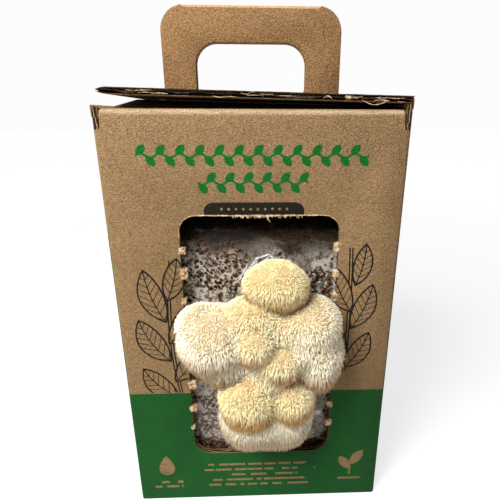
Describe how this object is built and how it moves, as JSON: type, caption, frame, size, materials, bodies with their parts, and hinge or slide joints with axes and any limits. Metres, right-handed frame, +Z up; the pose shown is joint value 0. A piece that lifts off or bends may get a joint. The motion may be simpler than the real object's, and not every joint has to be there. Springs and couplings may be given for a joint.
{
  "type": "lion's mane mushroom grow kit",
  "caption": "Lion's mane fruit body growing from a bagged sawdust block through the window of a corrugated carton with a folded handle and a hinged lid flap.",
  "frame": {"origin": "middle of the carton's underside", "axes": "+Z up; the window and the fruit body face -Y; +X is to the right when looking at the window, where the lid flap is hinged"},
  "size_m": [0.1902, 0.1889, 0.369],
  "materials": {
    "kraft_board": "matte",
    "clear_film": "gloss",
    "grown_sawdust": "matte",
    "fruit_body": "matte"
  },
  "bodies": {
    "carton": {"front_wall": "kraft_board", "back_wall": "kraft_board", "left_wall": "kraft_board", "right_wall": "kraft_board", "bottom_front_flap": "kraft_board", "bottom_back_flap": "kraft_board", "bottom_left_flap": "kraft_board", "bottom_right_flap": "kraft_board", "left_top_flap": "kraft_board", "front_top_flap": "kraft_board", "back_top_flap": "kraft_board", "handle": "kraft_board", "grow_bag": "clear_film", "substrate_block": "grown_sawdust", "lions_mane": "fruit_body"},
    "lid": {"lid_flap": "kraft_board"}
  },
  "joints": [
    {"name": "lid_hinge", "type": "hinge", "parent": "carton", "child": "lid", "pos_m": [0.095, 0, 0.30355], "axis": [0, 1, 0], "range_deg": [0, 180]}
  ]
}
